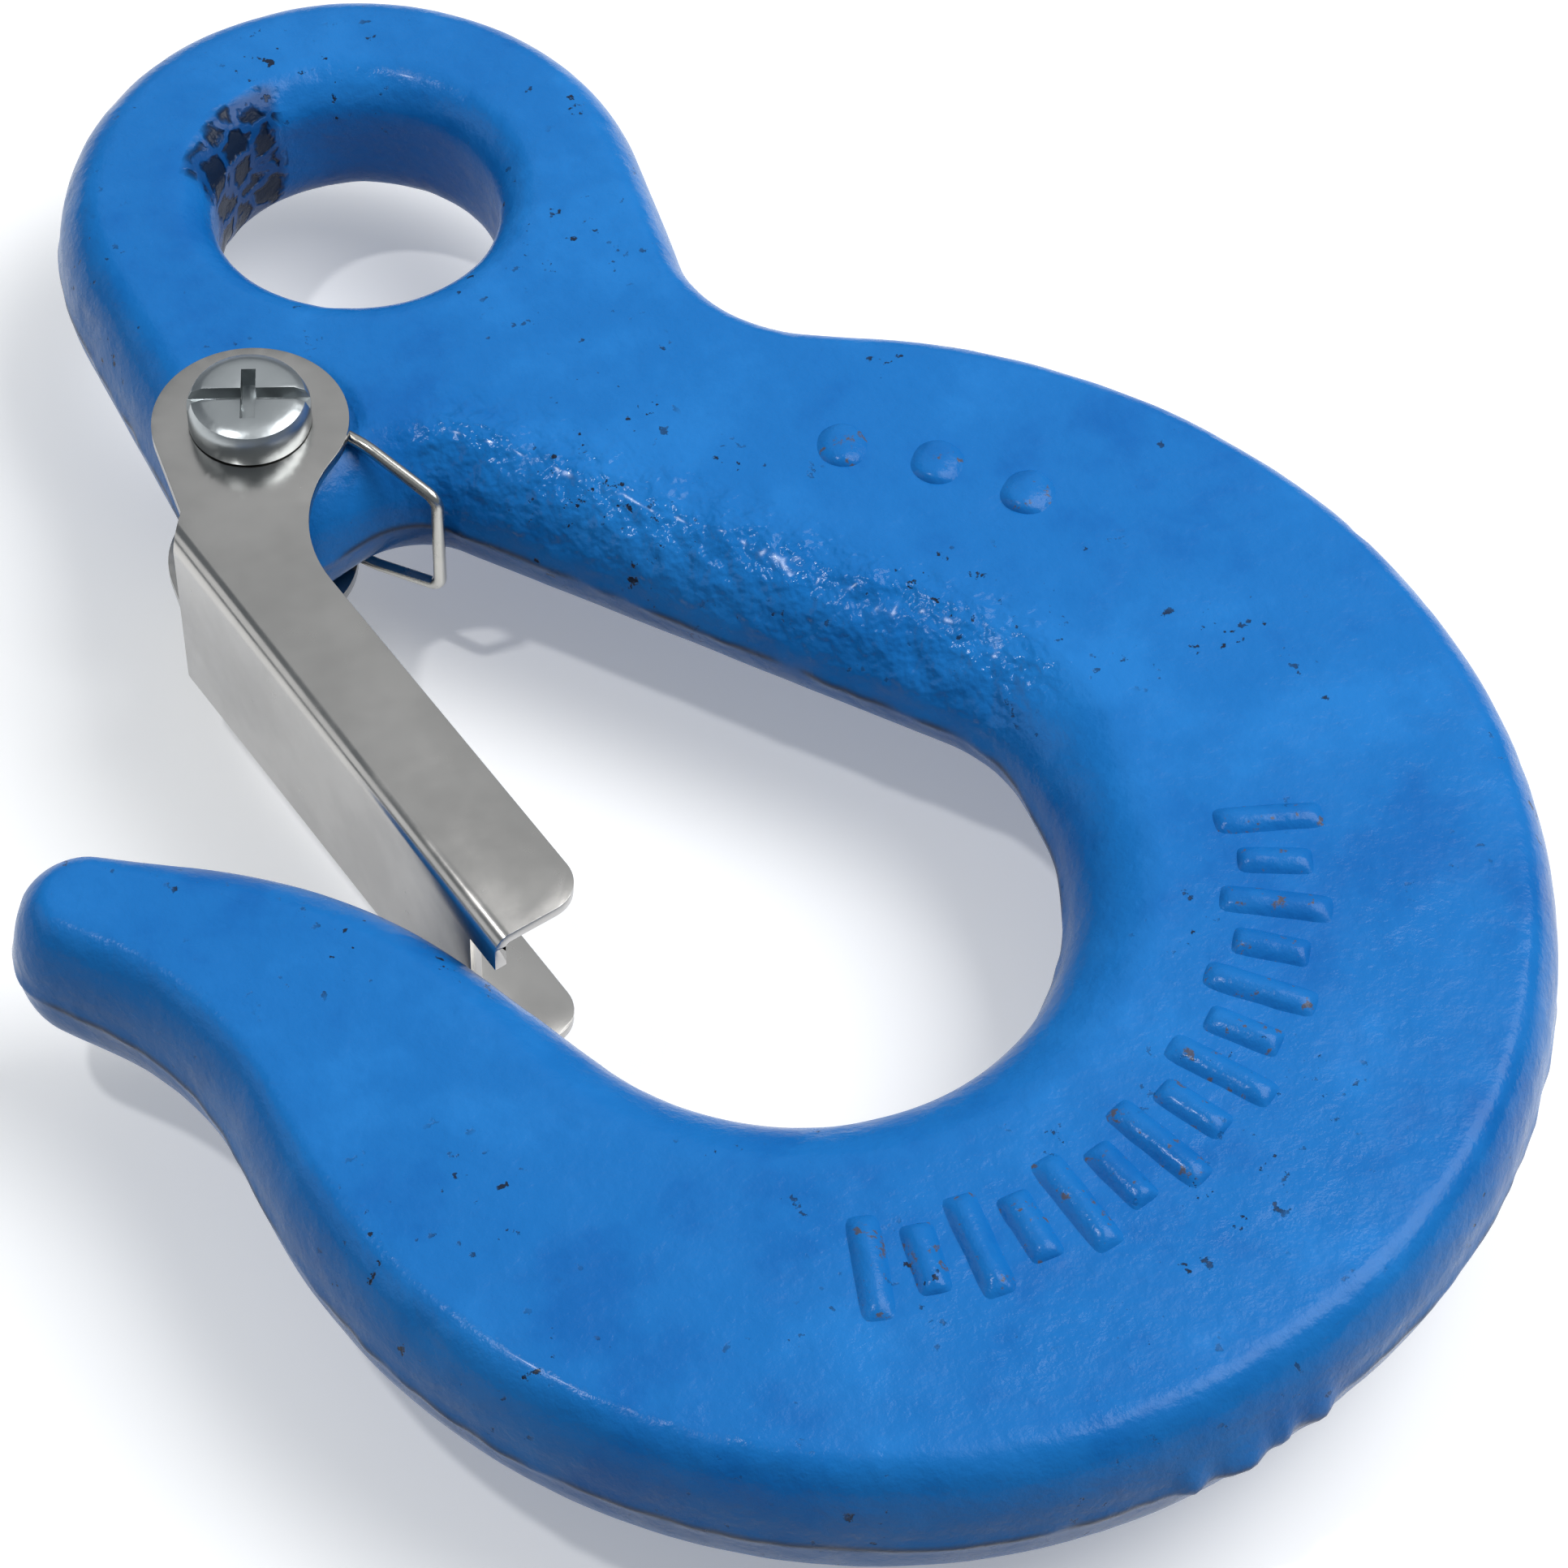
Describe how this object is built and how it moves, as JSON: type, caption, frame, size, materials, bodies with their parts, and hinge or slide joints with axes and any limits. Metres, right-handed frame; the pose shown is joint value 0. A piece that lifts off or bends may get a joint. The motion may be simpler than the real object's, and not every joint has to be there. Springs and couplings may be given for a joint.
{
  "type": "safety chain hook",
  "caption": "Forged eye slip hook with a wide throat and a folded steel safety latch that springs shut against the tip.",
  "frame": {"origin": "centre of the eye's bore, on the forging's parting plane", "axes": "+Z along the eye's bore, out of the side with the screw's head; -Y along the load line from the eye to the bowl; +X towards the hook's back"},
  "size_m": [0.1376, 0.1938, 0.0338],
  "materials": {
    "blue_paint": "gloss paint over rough forging skin",
    "latch_steel": "polished stainless sheet",
    "spring_steel": "bright drawn wire",
    "zinc": "bright zinc plating",
    "nylon": "natural nylon"
  },
  "bodies": {
    "hook": {"hook_body": "blue_paint", "latch_screw": "zinc", "lock_nut": "zinc", "nut_insert": "nylon", "latch_spring": "spring_steel"},
    "latch": {"latch": "latch_steel"}
  },
  "joints": [
    {"name": "latch_hinge", "type": "hinge", "parent": "hook", "child": "latch", "pos_m": [-0.02355, -0.02709, 0], "axis": [0, 0, 1], "range_deg": [0, 44.5], "stiffness_Nm_per_rad": 0.25, "springref_deg": -45.84, "deforming": ["latch_spring"]}
  ]
}
